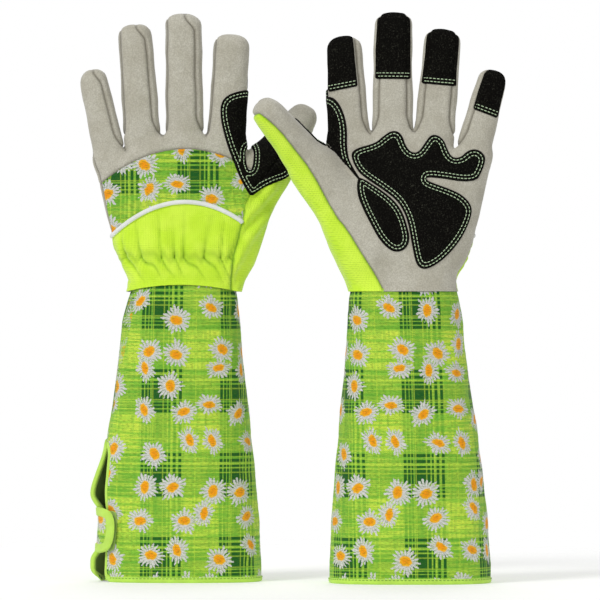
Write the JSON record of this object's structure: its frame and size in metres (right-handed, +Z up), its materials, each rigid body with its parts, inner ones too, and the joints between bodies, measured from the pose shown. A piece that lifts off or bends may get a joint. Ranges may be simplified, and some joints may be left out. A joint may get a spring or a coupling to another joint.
{
  "type": "gardening gloves",
  "caption": "Pair of long-cuffed gardening gloves with printed gauntlet cuffs, grey suede hands, lime wrist panels and black stitched grip patches.",
  "frame": {"origin": "on the surface that both gloves stand on, below the middle of the pair's bounding box", "axes": "+Z up from the cuffs' hems to the fingertips; +X from glove 1, which shows its back, to glove 2, which shows its palm; both seen from -Y"},
  "size_m": [0.3016, 0.1124, 0.401],
  "materials": {
    "grey_suede": "matte",
    "lime_fabric": "matte",
    "print_fabric": "matte",
    "grip_patch": "matte",
    "lime_binding": "satin",
    "white_piping": "satin",
    "hook_and_loop": "matte",
    "elastic": "matte"
  },
  "bodies": {
    "glove1_cuff": {"glove1_cuff_sleeve": "print_fabric", "glove1_edge_binding": "lime_binding", "glove1_loop_patch": "hook_and_loop"},
    "glove1_tab": {"glove1_closure_tab": "print_fabric", "glove1_hook_patch": "hook_and_loop"},
    "glove1_hand": {"glove1_wrist_panel": "lime_fabric", "glove1_wrist_elastic": "elastic", "glove1_piping": "white_piping", "glove1_print_panel": "print_fabric", "glove1_knuckle_panel": "grey_suede", "glove1_thumb_side_panel": "lime_fabric", "glove1_palm_panel": "grey_suede", "glove1_palm_patch": "grip_patch", "glove1_thenar_patch": "grip_patch", "glove1_saddle_patch": "grip_patch"},
    "glove1_index_base": {"glove1_index_base": "grey_suede"},
    "glove1_index_tip": {"glove1_index_tip": "grey_suede", "glove1_index_patch": "grip_patch"},
    "glove1_middle_base": {"glove1_middle_base": "grey_suede"},
    "glove1_middle_tip": {"glove1_middle_tip": "grey_suede", "glove1_middle_patch": "grip_patch"},
    "glove1_ring_base": {"glove1_ring_base": "grey_suede"},
    "glove1_ring_tip": {"glove1_ring_tip": "grey_suede", "glove1_ring_patch": "grip_patch"},
    "glove1_little_base": {"glove1_little_base": "grey_suede"},
    "glove1_little_tip": {"glove1_little_tip": "grey_suede", "glove1_little_patch": "grip_patch"},
    "glove1_thumb_base": {"glove1_thumb_base": "grey_suede"},
    "glove1_thumb_tip": {"glove1_thumb_tip": "grey_suede"},
    "glove2_cuff": {"glove2_cuff_sleeve": "print_fabric", "glove2_edge_binding": "lime_binding", "glove2_loop_patch": "hook_and_loop"},
    "glove2_tab": {"glove2_closure_tab": "print_fabric", "glove2_hook_patch": "hook_and_loop"},
    "glove2_hand": {"glove2_wrist_panel": "lime_fabric", "glove2_wrist_elastic": "elastic", "glove2_piping": "white_piping", "glove2_print_panel": "print_fabric", "glove2_knuckle_panel": "grey_suede", "glove2_thumb_side_panel": "lime_fabric", "glove2_palm_panel": "grey_suede", "glove2_palm_patch": "grip_patch", "glove2_thenar_patch": "grip_patch", "glove2_saddle_patch": "grip_patch"},
    "glove2_index_base": {"glove2_index_base": "grey_suede"},
    "glove2_index_tip": {"glove2_index_tip": "grey_suede", "glove2_index_patch": "grip_patch"},
    "glove2_middle_base": {"glove2_middle_base": "grey_suede"},
    "glove2_middle_tip": {"glove2_middle_tip": "grey_suede", "glove2_middle_patch": "grip_patch"},
    "glove2_ring_base": {"glove2_ring_base": "grey_suede"},
    "glove2_ring_tip": {"glove2_ring_tip": "grey_suede", "glove2_ring_patch": "grip_patch"},
    "glove2_little_base": {"glove2_little_base": "grey_suede"},
    "glove2_little_tip": {"glove2_little_tip": "grey_suede", "glove2_little_patch": "grip_patch"},
    "glove2_thumb_base": {"glove2_thumb_base": "grey_suede"},
    "glove2_thumb_tip": {"glove2_thumb_tip": "grey_suede"}
  },
  "joints": [
    {"name": "pair_slide", "type": "slide", "parent": "glove1_cuff", "child": "glove2_cuff", "axis": [1, 0, 0], "range_m": [0, 0.25]},
    {"name": "glove1_wrist_fold", "type": "hinge", "parent": "glove1_cuff", "child": "glove1_hand", "pos_m": [-0.0747, 0.017, 0.212], "axis": [-1, 0, 0], "range_deg": [-10, 60]},
    {"name": "glove1_tab_fold", "type": "hinge", "parent": "glove1_cuff", "child": "glove1_tab", "pos_m": [-0.13763, 0.00874, 0.036], "axis": [0, 0, -1], "range_deg": [0, 120]},
    {"name": "glove1_index_base_fold", "type": "hinge", "parent": "glove1_hand", "child": "glove1_index_base", "pos_m": [-0.0471, 0.009, 0.317], "axis": [-0.9977, 0, 0.0685], "range_deg": [-10, 75]},
    {"name": "glove1_index_middle_fold", "type": "hinge", "parent": "glove1_index_base", "child": "glove1_index_tip", "pos_m": [-0.04522, 0.009, 0.3444], "axis": [-0.9977, 0, 0.0685], "range_deg": [0, 85]},
    {"name": "glove1_middle_base_fold", "type": "hinge", "parent": "glove1_hand", "child": "glove1_middle_base", "pos_m": [-0.0763, 0.009, 0.32], "axis": [-1, 0, -0.0088], "range_deg": [-10, 75]},
    {"name": "glove1_middle_middle_fold", "type": "hinge", "parent": "glove1_middle_base", "child": "glove1_middle_tip", "pos_m": [-0.07658, 0.009, 0.352], "axis": [-1, 0, -0.0088], "range_deg": [0, 85]},
    {"name": "glove1_ring_base_fold", "type": "hinge", "parent": "glove1_hand", "child": "glove1_ring_base", "pos_m": [-0.1062, 0.009, 0.318], "axis": [-0.9974, 0, -0.0718], "range_deg": [-10, 75]},
    {"name": "glove1_ring_middle_fold", "type": "hinge", "parent": "glove1_ring_base", "child": "glove1_ring_tip", "pos_m": [-0.10836, 0.009, 0.348], "axis": [-0.9974, 0, -0.0718], "range_deg": [0, 85]},
    {"name": "glove1_little_base_fold", "type": "hinge", "parent": "glove1_hand", "child": "glove1_little_base", "pos_m": [-0.1304, 0.009, 0.307], "axis": [-0.9777, 0, -0.21], "range_deg": [-10, 75]},
    {"name": "glove1_little_middle_fold", "type": "hinge", "parent": "glove1_little_base", "child": "glove1_little_tip", "pos_m": [-0.13504, 0.009, 0.3286], "axis": [-0.9777, 0, -0.21], "range_deg": [0, 85]},
    {"name": "glove1_thumb_base_fold", "type": "hinge", "parent": "glove1_hand", "child": "glove1_thumb_base", "pos_m": [-0.0178, 0.0185, 0.2895], "axis": [-0.8405, 0, 0.5419], "range_deg": [0, 35]},
    {"name": "glove1_thumb_middle_fold", "type": "hinge", "parent": "glove1_thumb_base", "child": "glove1_thumb_tip", "pos_m": [-0.00684, 0.0323, 0.3065], "axis": [-0.8405, 0, 0.5419], "range_deg": [0, 60]},
    {"name": "glove2_wrist_fold", "type": "hinge", "parent": "glove2_cuff", "child": "glove2_hand", "pos_m": [0.0769, -0.031, 0.212], "axis": [1, 0, 0], "range_deg": [-10, 60]},
    {"name": "glove2_tab_fold", "type": "hinge", "parent": "glove2_cuff", "child": "glove2_tab", "pos_m": [0.13194, 0.00671, 0.036], "axis": [0, 0, -1], "range_deg": [0, 120]},
    {"name": "glove2_index_base_fold", "type": "hinge", "parent": "glove2_hand", "child": "glove2_index_base", "pos_m": [0.0404, -0.023, 0.317], "axis": [0.9974, 0, 0.0725], "range_deg": [-10, 75]},
    {"name": "glove2_index_middle_fold", "type": "hinge", "parent": "glove2_index_base", "child": "glove2_index_tip", "pos_m": [0.03848, -0.023, 0.3434], "axis": [0.9974, 0, 0.0725], "range_deg": [0, 85]},
    {"name": "glove2_middle_base_fold", "type": "hinge", "parent": "glove2_hand", "child": "glove2_middle_base", "pos_m": [0.0702, -0.023, 0.32], "axis": [1, 0, -0.0075], "range_deg": [-10, 75]},
    {"name": "glove2_middle_middle_fold", "type": "hinge", "parent": "glove2_middle_base", "child": "glove2_middle_tip", "pos_m": [0.07044, -0.023, 0.35188], "axis": [1, 0, -0.0075], "range_deg": [0, 85]},
    {"name": "glove2_ring_base_fold", "type": "hinge", "parent": "glove2_hand", "child": "glove2_ring_base", "pos_m": [0.0998, -0.023, 0.318], "axis": [0.9961, 0, -0.0882], "range_deg": [-10, 75]},
    {"name": "glove2_ring_middle_fold", "type": "hinge", "parent": "glove2_ring_base", "child": "glove2_ring_tip", "pos_m": [0.10228, -0.023, 0.346], "axis": [0.9961, 0, -0.0882], "range_deg": [0, 85]},
    {"name": "glove2_little_base_fold", "type": "hinge", "parent": "glove2_hand", "child": "glove2_little_base", "pos_m": [0.128, -0.023, 0.307], "axis": [0.9667, 0, -0.2559], "range_deg": [-10, 75]},
    {"name": "glove2_little_middle_fold", "type": "hinge", "parent": "glove2_little_base", "child": "glove2_little_tip", "pos_m": [0.13356, -0.023, 0.328], "axis": [0.9667, 0, -0.2559], "range_deg": [0, 85]},
    {"name": "glove2_thumb_base_fold", "type": "hinge", "parent": "glove2_hand", "child": "glove2_thumb_base", "pos_m": [0.0169, -0.0325, 0.287], "axis": [0.7761, 0, 0.6306], "range_deg": [0, 35]},
    {"name": "glove2_thumb_middle_fold", "type": "hinge", "parent": "glove2_thumb_base", "child": "glove2_thumb_tip", "pos_m": [0.0013, -0.0399, 0.3062], "axis": [0.7761, 0, 0.6306], "range_deg": [0, 60]}
  ]
}
